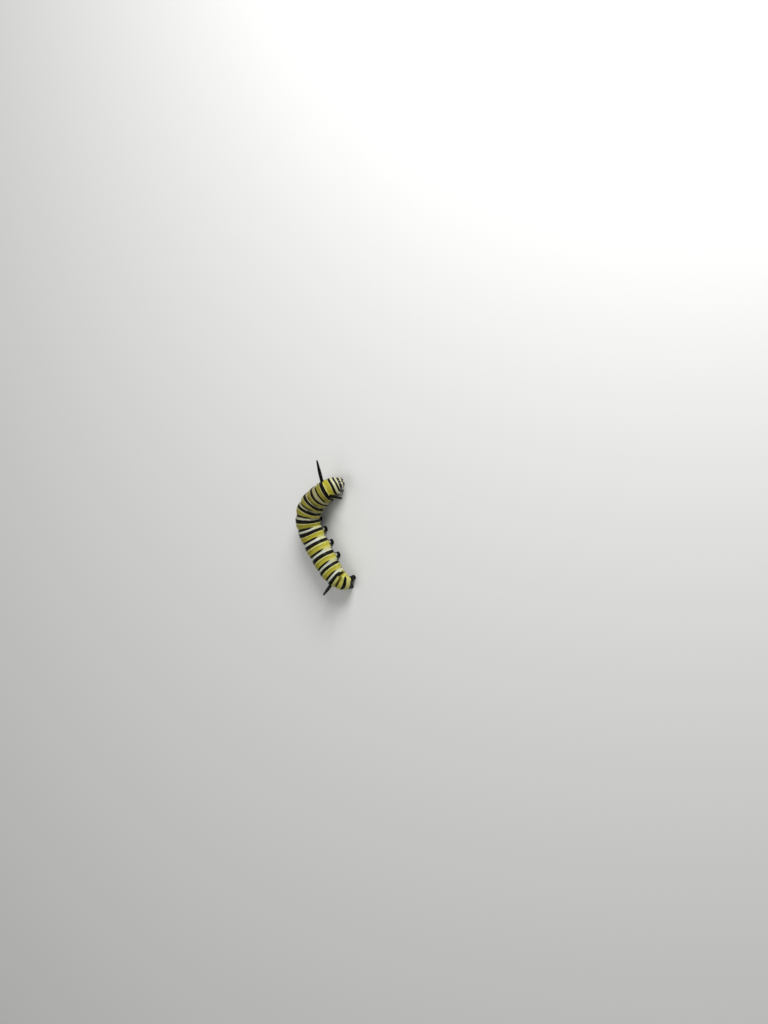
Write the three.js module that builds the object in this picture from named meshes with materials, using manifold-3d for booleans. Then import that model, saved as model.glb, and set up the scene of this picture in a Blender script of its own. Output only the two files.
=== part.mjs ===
// A monarch larva in its fourth instar, at life size, in millimetres with +Z up.
// It stands on the floor, z = 0, bent like a C. The head is at the -X, -Y corner and the tail
// at +Y. The animal's left side is the outer side of the bend, its right side the inner one.

import * as THREE from 'three';
import { mergeVertices } from 'three/addons/utils/BufferGeometryUtils.js';
import Module from 'manifold-3d';

const wasm = await Module();
wasm.setup();

// Driving dimensions of the body
const SEAM = 0.25; // gap between two pieces that meet
const BROW = { x: -4.312, y: -6.234, height: 1.4 }; // front end of the body line
const HEIGHT_TO_WIDTH = 0.97; // the body is a little lower than it is wide
const BELLY = 0.9; // the underside is flatter than the back
const FOLD_SHARPNESS = 6; // higher is a narrower fold between two segments

// The body line, one row for each segment from head to tail: how long it is on the floor plan,
// which way it runs towards the tail, and, at its rear joint, the height of the line,
// the half width of the body, how far the back leans to the animal's right, and the fold.
const SEGMENTS = [
  { name: 'head', length: 0.92, heading: 9, height: 1.78, halfWidth: 1.12, lean: 0, fold: 0.03 },
  { name: 'T1', length: 1.37, heading: 15, height: 2.17, halfWidth: 1.58, lean: 0, fold: 0.05 },
  { name: 'T2', length: 1.86, heading: 20.5, height: 2.49, halfWidth: 1.77, lean: 2, fold: 0.07 },
  { name: 'T3', length: 1.59, heading: 27, height: 2.65, halfWidth: 1.89, lean: 2, fold: 0.09 },
  { name: 'A1', length: 1.39, heading: 31.5, height: 2.63, halfWidth: 1.96, lean: 0, fold: 0.1 },
  { name: 'A2', length: 1.65, heading: 51, height: 2.48, halfWidth: 2.02, lean: -2, fold: 0.09 },
  { name: 'A3', length: 1.85, heading: 78.5, height: 2.34, halfWidth: 2.02, lean: -4, fold: 0.07 },
  { name: 'A4', length: 2.25, heading: 100.5, height: 2.28, halfWidth: 2.0, lean: -5, fold: 0.05 },
  { name: 'A5', length: 2.42, heading: 107.5, height: 2.27, halfWidth: 1.97, lean: -5, fold: 0.05 },
  { name: 'A6', length: 2.09, heading: 108.5, height: 2.22, halfWidth: 1.9, lean: -5, fold: 0.05 },
  { name: 'A7', length: 1.7, heading: 112, height: 2.08, halfWidth: 1.76, lean: -5, fold: 0.06 },
  { name: 'A8', length: 1.28, heading: 126, height: 1.84, halfWidth: 1.5, lean: -4, fold: 0.06 },
  { name: 'A9', length: 1.0, heading: 140.5, height: 1.6, halfWidth: 1.2, lean: -2, fold: 0.05 },
  { name: 'A10', length: 0.8, heading: 148, height: 1.4, halfWidth: 0.95, lean: 0, fold: 0 },
];

// The lengths that the body is parted into, by the segments each one holds
const BODY_LENGTHS = [
  { name: 'prothorax', first: 'T1', last: 'T1' },
  { name: 'mesothorax', first: 'T2', last: 'T2' },
  { name: 'metathorax', first: 'T3', last: 'T3' },
  { name: 'abdomen_1_2', first: 'A1', last: 'A2' },
  { name: 'abdomen_3_4', first: 'A3', last: 'A4' },
  { name: 'abdomen_5_7', first: 'A5', last: 'A7' },
  { name: 'abdomen_8_10', first: 'A8', last: 'A10' },
];

// Meshing of the body
const AROUND = 32;
const RINGS_PER_SEGMENT = 6;

// Head capsule, whose back is sunk into the front of the prothorax
const HEAD = {
  along: 0.08, // its centre on the body line, in segments behind the neck
  halfWidth: 1.0,
  halfHeight: 1.06,
  halfDepth: 0.88,
  bowed: 38, // how far the face looks down from the body line, in degrees
  cleft: 0.09, // depth of the groove between its two lobes, as a share of its size
  cleftWidth: 0.16,
};
const NECK_CUT = { behind: 0.35, slant: 18 }; // the hood of the prothorax overhangs the head
const HOOD = 0.15; // how far the hood reaches ahead of the neck, in segments
const STEMMATA = { radius: 0.1, count: 5, ring: 0.24, firstAt: -120, arc: 220, side: 62, rise: -32 };
const ANTENNA = { side: 34, rise: -44, length: 0.55, radii: [0.24, 0.24, 0.1] };

// True legs, one pair for each segment of the thorax
const LEG = {
  rootAngle: 145, // from the middle of the back round to the hip, in degrees
  radii: [0.36, 0.35, 0.26, 0.3, 0.23, 0.25, 0.13], // hip, joints and claw
  spread: 0.26, // how far the knee stands out from the hip
  tuck: 0.22, // how far the claw stands in from the knee
  reach: 0.3, // how far the claw lies ahead of the hip
  kneeDrop: 0.28, // how far the knee lies below the hip, as a share of its height
};

const LEGS = [
  { segment: 't1', along: 0.78 },
  { segment: 't2', along: 1.5 },
  { segment: 't3', along: 2.5 },
];

// Prolegs, the soft false legs of the abdomen. The first pair is tucked in below the body in the
// tightest part of the bend, and the last pair is under the tail.
const PROLEG = {
  rootAngle: 146,
  radii: [0.62, 0.62, 0.43, 0.47], // root, thigh, ankle and foot
  splay: 0.02, // how far the foot stands out from its root
  trail: 0, // how far the foot lies behind its root
};
const TUCKED_PROLEG = { rootAngle: 160, radii: [0.52, 0.52, 0.36, 0.38], splay: -0.08, trail: 0 };
const ANAL_PROLEG = { rootAngle: 136, radii: [0.52, 0.52, 0.38, 0.42], splay: 0.05, trail: 0.05 };
const PROLEGS = [
  { segment: 'a3', along: 5.5, sizes: TUCKED_PROLEG },
  { segment: 'a4', along: 6.5, sizes: PROLEG },
  { segment: 'a5', along: 7.5, sizes: PROLEG },
  { segment: 'a6', along: 8.5, sizes: PROLEG },
  { segment: 'a10', along: 12.2, sizes: ANAL_PROLEG },
];

// Filaments, the black fleshy feelers on the back of T2 and A8.
// Each direction is forward, to its own side, and up, from the root to the tip.
const FILAMENT = { rootAngle: 54, radii: [0.27, 0.27, 0.13], bend: 0.02 };
const FILAMENTS = [
  { name: 'filament_front_left', along: 1.42, side: -1, length: 3.9, direction: [0.48, 0.74, 0.47] },
  { name: 'filament_front_right', along: 1.42, side: 1, length: 3.9, direction: [0.64, 0.49, 0.59] },
  { name: 'filament_rear_left', along: 10.46, side: -1, length: 2.1, direction: [-0.13, 0.53, 0.84] },
  { name: 'filament_rear_right', along: 10.46, side: 1, length: 2.1, direction: [-0.27, 0.8, 0.54] },
];
const INSIDE = 0.7; // where a limb's root is sunk, as a share of the body's half width

// Colours of the living larva
const finish = (colour, roughness) =>
  new THREE.MeshStandardMaterial({ color: colour, roughness, metalness: 0 });
const FLESH = finish(0xd9c63a, 0.55);
const BLACK_SKIN = finish(0x1a1714, 0.5);
const BLACK_HORN = finish(0x100e0d, 0.25);

// The body line as a curve whose parameter counts segments from the neck
const NECK = 1; // rows of the table ahead of the neck
const TAIL_TIP = SEGMENTS.length - NECK;
const TAIL_DOME = TAIL_TIP - 1; // where the last segment starts to close
const DOME_TURN = 87; // how far round the dome the last ring lies, in degrees
const degrees = THREE.MathUtils.degToRad;
const segmentNamed = (name) => SEGMENTS.find((segment) => segment.name === name);
const jointAhead = (name) => SEGMENTS.indexOf(segmentNamed(name)) - NECK;

function jointPoints() {
  const points = [new THREE.Vector3(BROW.x, BROW.y, BROW.height)];
  for (const { length, heading, height } of SEGMENTS) {
    const last = points[points.length - 1];
    const x = last.x + length * Math.cos(degrees(heading));
    const y = last.y + length * Math.sin(degrees(heading));
    points.push(new THREE.Vector3(x, y, height));
  }
  return points;
}

function girthPoints() {
  const rows = [SEGMENTS[0], ...SEGMENTS];
  return rows.map(({ halfWidth, lean, fold }) => new THREE.Vector3(halfWidth, lean, fold));
}

const smooth = (points) => new THREE.CatmullRomCurve3(points, false, 'catmullrom', 0.5);
const bodyLine = smooth(jointPoints());
const girths = smooth(girthPoints());
const fraction = (along) => THREE.MathUtils.clamp((along + NECK) / SEGMENTS.length, 0, 1);

// Place and axes of the body at a point along it
function station(along) {
  const centre = bodyLine.getPoint(fraction(along));
  const forward = bodyLine.getTangent(fraction(along)).negate();
  const girth = girths.getPoint(fraction(along));
  const right = new THREE.Vector3().crossVectors(forward, new THREE.Vector3(0, 0, 1)).normalize();
  const up = new THREE.Vector3().crossVectors(right, forward);
  right.applyAxisAngle(forward, degrees(girth.y));
  up.applyAxisAngle(forward, degrees(girth.y));
  return { centre, forward, right, up, halfWidth: girth.x, fold: girth.z };
}

// The last segment closes in a dome: how far along its tip a ring lies, and how wide it is
function closing(along) {
  const share = Math.max(0, along - TAIL_DOME);
  const turn = share * degrees(DOME_TURN);
  return { at: along - share + Math.sin(turn) / Math.sin(degrees(DOME_TURN)), width: Math.cos(turn) };
}

// A point on the body, at an angle from the middle of the back towards the right side.
// Share is 0 on the body line and 1 on the skin, and extra lies outside the skin.
function bodyPoint(along, angle, share = 1, extra = 0) {
  const { at, width } = closing(along);
  const place = station(at);
  const crease = place.fold * Math.abs(Math.cos(Math.PI * along)) ** FOLD_SHARPNESS;
  const across = share * (place.halfWidth * (1 - crease) * width + extra);
  const high = (Math.cos(angle) < 0 ? BELLY : 1) * HEIGHT_TO_WIDTH * across;
  return place.centre
    .clone()
    .addScaledVector(place.right, across * Math.sin(angle))
    .addScaledVector(place.up, high * Math.cos(angle));
}

// Pieces for joining and cutting
function toSolid(geometry) {
  const bare = geometry.clone();
  bare.deleteAttribute('normal');
  bare.deleteAttribute('uv');
  const merged = mergeVertices(bare, 1e-5);
  const mesh = new wasm.Mesh({
    numProp: 3,
    vertProperties: Float32Array.from(merged.attributes.position.array),
    triVerts: Uint32Array.from(merged.index.array),
  });
  return new wasm.Manifold(mesh);
}

function largest(solid) {
  const pieces = solid.decompose();
  return pieces.reduce((best, piece) => (piece.volume() > best.volume() ? piece : best));
}

function toMesh(name, solid, material) {
  const { vertProperties, triVerts } = largest(solid).getMesh();
  const geometry = new THREE.BufferGeometry();
  geometry.setAttribute('position', new THREE.BufferAttribute(vertProperties, 3));
  geometry.setIndex(new THREE.BufferAttribute(triVerts, 1));
  geometry.computeVertexNormals();
  const mesh = new THREE.Mesh(geometry, material);
  mesh.name = name;
  return mesh;
}

// Moves each vertex of a geometry to where a rule puts it
function reshape(geometry, rule) {
  const position = geometry.attributes.position;
  for (let i = 0; i < position.count; i += 1) {
    const moved = rule(new THREE.Vector3().fromBufferAttribute(position, i));
    position.setXYZ(i, moved.x, moved.y, moved.z);
  }
  return toSolid(geometry);
}

// A length of the body from one point along it to another, with flat ends
function bodyPiece(from, to, extra = 0) {
  const rings = Math.max(2, Math.round(RINGS_PER_SEGMENT * (to - from)));
  const barrel = new THREE.CylinderGeometry(1, 1, 1, AROUND, rings);
  return reshape(barrel, ({ x, y, z }) => {
    const along = THREE.MathUtils.lerp(to, from, y + 0.5);
    return bodyPoint(along, Math.atan2(x, z), Math.hypot(x, z), extra);
  });
}

// One of the lengths that the body is parted into
function bodyLength({ first, last }) {
  const from = jointAhead(first) + (first === 'T1' ? -HOOD : SEAM / 2 / segmentNamed(first).length);
  const to = last === 'A10' ? TAIL_TIP : jointAhead(last) + 1 - SEAM / 2 / segmentNamed(last).length;
  return bodyPiece(from, to);
}

// The body as a limb's root sees it, larger by the seam
function bodyAround(along) {
  return bodyPiece(along - 0.7, Math.min(along + 0.7, TAIL_TIP), SEAM);
}

// A tapered limb along a curve. Radii run from root to tip, evenly spaced.
function limb(path, radii, around = 12, ringsPerRadius = 2) {
  const spans = radii.length - 1;
  const rings = ringsPerRadius * spans;
  const barrel = new THREE.CylinderGeometry(1, 1, 1, around, rings);
  const frames = path.computeFrenetFrames(rings, false);
  return reshape(barrel, ({ x, y, z }) => {
    const share = 0.5 - y;
    const ring = Math.round(share * rings);
    const span = Math.min(Math.floor(share * spans), spans - 1);
    const radius = THREE.MathUtils.lerp(radii[span], radii[span + 1], share * spans - span);
    return path
      .getPoint(share)
      .addScaledVector(frames.normals[ring], x * radius)
      .addScaledVector(frames.binormals[ring], z * radius);
  });
}

// A block that fills everything on one side of a plane
function halfSpace(point, towards) {
  const size = 60;
  const block = new THREE.BoxGeometry(size, size, size);
  block.translate(0, 0, size / 2);
  const turn = new THREE.Quaternion().setFromUnitVectors(new THREE.Vector3(0, 0, 1), towards);
  block.applyQuaternion(turn);
  block.translate(point.x, point.y, point.z);
  return toSolid(block);
}

const belowFloor = halfSpace(new THREE.Vector3(), new THREE.Vector3(0, 0, -1));

// The slanted cut between the head and the hood of the prothorax, moved ahead by a distance
function neckPlane(ahead) {
  const place = station(0);
  const normal = place.forward.clone().applyAxisAngle(place.right, degrees(-NECK_CUT.slant));
  const point = place.centre
    .clone()
    .addScaledVector(place.forward, -NECK_CUT.behind)
    .addScaledVector(normal, ahead);
  return { point, normal };
}

function aheadOfNeck() {
  const { point, normal } = neckPlane(-SEAM / 2);
  return halfSpace(point, normal);
}

function behindNeck() {
  const { point, normal } = neckPlane(SEAM / 2);
  return halfSpace(point, normal.negate());
}

// Axes of the head capsule: right, the crown, and out of the face
function headPlace() {
  const { centre, forward, right, up } = station(HEAD.along);
  const face = forward.clone().applyAxisAngle(right, degrees(-HEAD.bowed));
  const crown = up.clone().applyAxisAngle(right, degrees(-HEAD.bowed));
  return { centre, right, crown, face };
}

const headAxes = headPlace();

function onHead(x, y, z) {
  return headAxes.centre
    .clone()
    .addScaledVector(headAxes.right, x)
    .addScaledVector(headAxes.crown, y)
    .addScaledVector(headAxes.face, z);
}

// A point on the capsule, or outside it by a clearance, seen from its middle:
// degrees round from the face to the right, and up towards the crown
function capsulePoint(side, rise, clearance = 0) {
  const x = Math.sin(degrees(side)) * Math.cos(degrees(rise));
  const y = Math.sin(degrees(rise));
  const z = Math.cos(degrees(side)) * Math.cos(degrees(rise));
  const { halfWidth, halfHeight, halfDepth } = HEAD;
  return onHead(x * (halfWidth + clearance), y * (halfHeight + clearance), z * (halfDepth + clearance));
}

function capsule(extra = 0) {
  const ball = new THREE.SphereGeometry(1, 28, 18);
  return reshape(ball, ({ x, y, z }) => {
    const groove = HEAD.cleft * Math.exp(-((x / HEAD.cleftWidth) ** 2)) * Math.max(y, 0);
    const size = 1 - groove;
    return onHead(
      -x * (HEAD.halfWidth + extra) * size,
      y * (HEAD.halfHeight + extra) * size,
      z * (HEAD.halfDepth + extra) * size,
    );
  });
}

// Lip, jaws, palps and spinneret, which hang from the lower edge of the capsule.
// Each is a cone from one point to another in the axes of the head.
const MOUTH_PARTS = [
  { from: [0, -0.72, 0.52], to: [0, -1.28, 0.7], radii: [0.42, 0.3] },
  { from: [0, -0.8, 0.02], to: [0, -1.3, 0.22], radii: [0.22, 0.06] },
  { from: [0.42, -0.75, 0.36], to: [0.12, -1.36, 0.48], radii: [0.3, 0.12], paired: true },
  { from: [0.38, -0.8, 0.04], to: [0.34, -1.26, 0.16], radii: [0.18, 0.07], paired: true },
];

function mouthParts() {
  const parts = [];
  for (const { from, to, radii, paired } of MOUTH_PARTS) {
    for (const side of paired ? [-1, 1] : [1]) {
      const root = onHead(side * from[0], from[1], from[2]);
      const tip = onHead(side * to[0], to[1], to[2]);
      parts.push(limb(new THREE.LineCurve3(root, tip), radii, 8, 1));
    }
  }
  return parts;
}

function eye(side, rise) {
  const ball = new THREE.SphereGeometry(STEMMATA.radius, 8, 6);
  const { x, y, z } = capsulePoint(side, rise);
  ball.translate(x, y, z);
  return toSolid(ball);
}

// Six simple eyes on each cheek: five in an arc and one inside it
function stemmata() {
  const eyes = [];
  const away = THREE.MathUtils.radToDeg(STEMMATA.ring / HEAD.halfWidth);
  for (const side of [-1, 1]) {
    for (let i = 0; i < STEMMATA.count; i += 1) {
      const turn = degrees(STEMMATA.firstAt + (i * STEMMATA.arc) / (STEMMATA.count - 1));
      const round = STEMMATA.side + away * Math.cos(turn);
      eyes.push(eye(side * round, STEMMATA.rise + away * Math.sin(turn)));
    }
    eyes.push(eye(side * STEMMATA.side, STEMMATA.rise));
  }
  return eyes;
}

function headSolid() {
  const pieces = [...mouthParts(), ...stemmata()];
  const whole = pieces.reduce((sum, piece) => sum.add(piece), capsule());
  return whole.subtract(behindNeck());
}

function antenna(side) {
  const root = capsulePoint(side * ANTENNA.side, ANTENNA.rise, -0.2);
  const tip = capsulePoint(side * ANTENNA.side, ANTENNA.rise, ANTENNA.length);
  return limb(new THREE.LineCurve3(root, tip), ANTENNA.radii, 8).subtract(capsule(SEAM));
}

// A true leg, bent at the knee, with its claw flat on the floor
function leg(along, side) {
  const { right, forward } = station(along);
  const angle = side * degrees(LEG.rootAngle);
  const hip = bodyPoint(along, angle, INSIDE);
  const knee = bodyPoint(along, angle)
    .addScaledVector(right, side * LEG.spread)
    .addScaledVector(forward, LEG.reach / 2);
  const claw = knee
    .clone()
    .addScaledVector(right, -side * LEG.tuck)
    .addScaledVector(forward, LEG.reach / 2);
  knee.z *= 1 - LEG.kneeDrop;
  claw.z = -LEG.radii.at(-1);
  const path = new THREE.QuadraticBezierCurve3(hip, knee, claw);
  return limb(path, LEG.radii, 10, 1).subtract(bodyAround(along)).subtract(belowFloor);
}

// A proleg, with its sole flat on the floor
function proleg(along, side, { rootAngle, radii, splay, trail }) {
  const { right, forward } = station(along);
  const root = bodyPoint(along, side * degrees(rootAngle), INSIDE);
  const foot = bodyPoint(along, side * degrees(rootAngle))
    .addScaledVector(right, side * splay)
    .addScaledVector(forward, -trail);
  foot.z = -SEAM;
  const blank = limb(new THREE.LineCurve3(root, foot), radii, 16);
  return blank.subtract(bodyAround(along)).subtract(belowFloor);
}

function filament({ along, side, length, direction }) {
  const { right, forward, up, halfWidth } = station(along);
  const root = bodyPoint(along, side * degrees(FILAMENT.rootAngle), INSIDE);
  const way = new THREE.Vector3()
    .addScaledVector(forward, direction[0])
    .addScaledVector(right, side * direction[1])
    .addScaledVector(up, direction[2])
    .normalize();
  const tip = root.clone().addScaledVector(way, length + (1 - INSIDE) * halfWidth);
  const middle = root.clone().lerp(tip, 0.5).addScaledVector(up, FILAMENT.bend * length);
  const path = new THREE.QuadraticBezierCurve3(root, middle, tip);
  return limb(path, FILAMENT.radii, 10, 5).subtract(bodyAround(along));
}

// The whole larva
const larva = new THREE.Group();
larva.name = 'monarch_larva';

larva.add(toMesh('head', headSolid(), BLACK_HORN));
for (const part of BODY_LENGTHS) {
  const whole = bodyLength(part);
  const cut = part.first === 'T1' ? whole.subtract(aheadOfNeck()) : whole;
  larva.add(toMesh(part.name, cut, FLESH));
}
for (const [sideName, side] of [['left', -1], ['right', 1]]) {
  larva.add(toMesh(`antenna_${sideName}`, antenna(side), BLACK_HORN));
  for (const { segment, along } of LEGS) {
    larva.add(toMesh(`leg_${segment}_${sideName}`, leg(along, side), BLACK_HORN));
  }
  for (const { segment, along, sizes } of PROLEGS) {
    larva.add(toMesh(`proleg_${segment}_${sideName}`, proleg(along, side, sizes), BLACK_SKIN));
  }
}
for (const part of FILAMENTS) {
  larva.add(toMesh(part.name, filament(part), BLACK_SKIN));
}

export default larva;
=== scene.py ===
import math

import bmesh
import bpy
import numpy as np
from mathutils import Matrix, Vector, noise
from mathutils.kdtree import KDTree


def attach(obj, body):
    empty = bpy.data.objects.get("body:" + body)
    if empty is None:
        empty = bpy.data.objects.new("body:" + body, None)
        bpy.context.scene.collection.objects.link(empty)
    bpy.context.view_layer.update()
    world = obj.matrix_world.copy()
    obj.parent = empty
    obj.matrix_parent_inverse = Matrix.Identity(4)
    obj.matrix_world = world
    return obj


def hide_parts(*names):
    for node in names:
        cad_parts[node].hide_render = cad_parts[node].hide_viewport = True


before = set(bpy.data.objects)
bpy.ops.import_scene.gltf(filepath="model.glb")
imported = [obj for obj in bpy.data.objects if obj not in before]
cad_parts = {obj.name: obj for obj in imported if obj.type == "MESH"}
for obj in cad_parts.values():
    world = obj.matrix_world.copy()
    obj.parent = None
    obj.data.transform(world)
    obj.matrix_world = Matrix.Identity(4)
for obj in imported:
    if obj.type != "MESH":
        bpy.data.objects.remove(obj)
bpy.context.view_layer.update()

MM = 0.001


# Skin. The soft, thin cuticle of the whole body, with its prolegs and its four black feelers,
# is one sheet without a joint. It is drawn in over each fold between two segments, and its
# white, black and yellow bands are colour in the sheet itself.

# One row for each segment, head to tail: its length on the floor plan, which way it runs
# towards the tail, and at its rear joint the height of the body line, the half width of the
# body, how far the back leans to the right, and the fold.
SEGMENTS = [
    (0.92, 9, 1.78, 1.12, 0, 0.03),
    (1.37, 15, 2.17, 1.58, 0, 0.05),
    (1.86, 20.5, 2.49, 1.77, 2, 0.07),
    (1.59, 27, 2.65, 1.89, 2, 0.09),
    (1.39, 31.5, 2.63, 1.96, 0, 0.1),
    (1.65, 51, 2.48, 2.02, -2, 0.09),
    (1.85, 78.5, 2.34, 2.02, -4, 0.07),
    (2.25, 100.5, 2.28, 2.0, -5, 0.05),
    (2.42, 107.5, 2.27, 1.97, -5, 0.05),
    (2.09, 108.5, 2.22, 1.9, -5, 0.05),
    (1.7, 112, 2.08, 1.76, -5, 0.06),
    (1.28, 126, 1.84, 1.5, -4, 0.06),
    (1.0, 140.5, 1.6, 1.2, -2, 0.05),
    (0.8, 148, 1.4, 0.95, 0, 0),
]
BROW = (-4.312, -6.234, 1.4)  # front end of the body line, in millimetres
HEIGHT_TO_WIDTH = 0.97
BELLY = 0.9
TAIL_TIP = 13.0
TAIL_DOME = 12.0
DOME_TURN = math.radians(87)
FOLD_SHARPNESS = 6
STEP = 1e-3  # of a segment, over which slopes are measured
SETTLING = 4  # rounds in which a place found bit by bit comes to rest


def joints_of_body():
    points = [np.array(BROW)]
    for length, heading, height, *_ in SEGMENTS:
        turn = math.radians(heading)
        x, y, _ = points[-1]
        points.append(np.array([x + length * math.cos(turn), y + length * math.sin(turn), height]))
    return np.array(points)


def smooth_curve(knots, along):
    """An even Catmull-Rom curve through the knots; along counts segments from the neck."""
    ends = np.vstack([2 * knots[0] - knots[1], knots, 2 * knots[-1] - knots[-2]])
    place = np.clip(np.asarray(along, float) + 1, 0, len(knots) - 1)
    first = np.minimum(place.astype(int), len(knots) - 2)
    t = (place - first)[:, None]
    a, b, c, d = (ends[first + i] for i in range(4))
    bent = t * t * (a - 2.5 * b + 2 * c - 0.5 * d) + t**3 * (1.5 * b - 0.5 * a - 1.5 * c + 0.5 * d)
    return b + 0.5 * t * (c - a) + bent


BODY_LINE = joints_of_body()
GIRTHS = np.array([SEGMENTS[0][3:]] + [row[3:] for row in SEGMENTS])


def unit(vectors):
    return vectors / np.linalg.norm(vectors, axis=-1, keepdims=True)


def station(along):
    """Centre, forward, right and up of the body at places along it, with half width and fold."""
    along = np.clip(np.atleast_1d(np.asarray(along, float)), -1, TAIL_TIP)
    ahead = smooth_curve(BODY_LINE, np.maximum(along - STEP, -1))
    behind = smooth_curve(BODY_LINE, np.minimum(along + STEP, TAIL_TIP))
    forward = unit(ahead - behind)
    level_right = unit(np.cross(forward, (0.0, 0.0, 1.0)))
    level_up = np.cross(level_right, forward)
    girth = smooth_curve(GIRTHS, along)
    lean = np.radians(girth[:, 1:2])
    right = level_right * np.cos(lean) - level_up * np.sin(lean)
    up = level_up * np.cos(lean) + level_right * np.sin(lean)
    return smooth_curve(BODY_LINE, along), forward, right, up, girth[:, 0], girth[:, 2]


def body_point(along, around, share=1.0, extra=0.0):
    """Points of the body; around is 0 on the back and positive on the right side."""
    along, around = np.broadcast_arrays(np.atleast_1d(np.asarray(along, float)), around)
    past = np.maximum(along - TAIL_DOME, 0)
    at = along - past + np.sin(past * DOME_TURN) / math.sin(DOME_TURN)
    centre, _, right, up, half_width, fold = station(at)
    crease = fold * np.abs(np.cos(np.pi * along)) ** FOLD_SHARPNESS
    across = share * (half_width * (1 - crease) * np.cos(past * DOME_TURN) + extra)
    high = np.where(np.cos(around) < 0, BELLY, 1) * HEIGHT_TO_WIDTH * across
    return centre + right * (across * np.sin(around))[:, None] + up * (high * np.cos(around))[:, None]


def tube(rings):
    """Vertices and faces of a closed tube through rings of points, with the ends shut."""
    count, around = rings.shape[:2]
    vertices = np.vstack([rings.reshape(-1, 3), rings[0].mean(0), rings[-1].mean(0)])
    sides = [(j, (j + 1) % around) for j in range(around)]
    last, middle = (count - 1) * around, count * around
    faces = []
    for i in range(0, last, around):
        faces += [(i + j, i + k, i + around + k, i + around + j) for j, k in sides]
    for j, k in sides:
        faces += [(middle, k, j), (middle + 1, last + j, last + k)]
    return vertices, faces


def limb_rings(path, radii, around=32, flatten=1.0, flat_way=None):
    """Rings round a path that turn as little as they can; flatten squeezes them along flat_way."""
    ways = unit(np.gradient(path, axis=0))
    side = np.cross(ways[0], (0.0, 0.0, 1.0) if flat_way is None else flat_way)
    turns = np.linspace(0, 2 * math.pi, around, endpoint=False)
    rings = []
    for point, way, radius in zip(path, ways, radii):
        side = unit(side - way * (side @ way))
        other = np.cross(way, side)
        ring = np.outer(np.cos(turns), side) + flatten * np.outer(np.sin(turns), other)
        rings.append(point + radius * ring)
    return np.array(rings)


def bezier(start, middle, end, share):
    share = np.asarray(share)[:, None]
    return (1 - share) ** 2 * start + 2 * share * (1 - share) * middle + share**2 * end


def mesh_of(name, parts):
    """A mesh of several lots of vertices and faces."""
    vertices, faces, start = [], [], 0
    for points, polygons in parts:
        vertices.append(np.asarray(points))
        faces += [tuple(int(i) + start for i in polygon) for polygon in polygons]
        start += len(points)
    mesh = bpy.data.meshes.new(name)
    mesh.from_pydata(np.vstack(vertices).tolist(), [], faces)
    return mesh


def outward(mesh):
    """Turns all faces of closed shells to point outwards."""
    work = bmesh.new()
    work.from_mesh(mesh)
    bmesh.ops.recalc_face_normals(work, faces=work.faces)
    work.to_mesh(mesh)
    work.free()


def place_on_scene(name, data):
    piece = bpy.data.objects.new(name, data)
    bpy.context.scene.collection.objects.link(piece)
    return piece


def finished(name, mesh, material):
    """A smooth piece in one material, set in the scene."""
    mesh.materials.append(material)
    mesh.shade_smooth()
    return place_on_scene(name, mesh)


# The front rim of the prothorax is rolled in round the neck. Each ring there: how far it lies
# behind the rim, in segments, and its share of the body's width.
RIM_ROLL = [(0.02, 0.74), (0.0, 0.84), (0.015, 0.93), (0.06, 0.98), (0.14, 1.0)]
RIM_ON_BACK = -0.2
RIM_ON_BELLY = 0.5
RIM_BLEND = 0.8
RINGS_PER_SEGMENT = 24
BODY_AROUND = 128


def rim_at(around):
    """Where the rim lies along the body, which slants back from the crown to the throat."""
    return RIM_ON_BACK + (RIM_ON_BELLY - RIM_ON_BACK) * (1 - np.cos(around)) / 2


def body_tube():
    """The body from its rolled rim to the tail, ring by ring."""
    turns = np.linspace(0, 2 * math.pi, BODY_AROUND, endpoint=False)
    rim = rim_at(turns)
    rings = [body_point(rim + behind, turns, share) for behind, share in RIM_ROLL]
    start = RIM_ROLL[-1][0]
    count = int(RINGS_PER_SEGMENT * TAIL_TIP)
    for i in range(1, count + 1):
        along = start + (TAIL_TIP - start) * i / count
        eased = along + rim * max(0.0, 1 - (along - start) / RIM_BLEND)
        rings.append(body_point(eased, turns))
    return tube(np.array(rings))


# Prolegs: where each pair stands, how far round it is rooted, its radii from root to foot, and
# how far the foot stands out and trails. The first pair is tucked in below the bend, and the
# last pair is under the tail.
PROLEG = (146, (0.62, 0.62, 0.43, 0.47), 0.02, 0.0)
TUCKED_PROLEG = (160, (0.52, 0.52, 0.36, 0.38), -0.08, 0.0)
ANAL_PROLEG = (136, (0.52, 0.52, 0.38, 0.42), 0.05, 0.05)
PROLEGS = [(5.5, TUCKED_PROLEG), (6.5, PROLEG), (7.5, PROLEG), (8.5, PROLEG), (12.2, ANAL_PROLEG)]
ROOT_SHARE = 0.7
SOLE_ROUNDING = 0.8
PROLEG_FOLDS = [(0.42, 0.06, 0.05), (0.6, 0.05, 0.04), (0.76, 0.05, 0.05)]  # place, width, depth
# Feelers: place along the body, side, length, and way from the root: forward, out and up
FEELER_ROOT = 54
FEELER_RADII = (0.27, 0.27, 0.13)
FEELER_BEND = 0.02
FEELERS = [
    (1.42, -1, 3.9, (0.48, 0.74, 0.47)),
    (1.42, 1, 3.9, (0.64, 0.49, 0.59)),
    (10.46, -1, 2.1, (-0.13, 0.53, 0.84)),
    (10.46, 1, 2.1, (-0.27, 0.8, 0.54)),
]
# Fleshy lobes that carry the true legs
LEG_PLACES = [0.78, 1.5, 2.5]
LEG_ROOT = 145
LOBE_RADIUS = 0.46
LOBE_REACH = 0.16
LOBE_TAPER = 0.12


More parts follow.
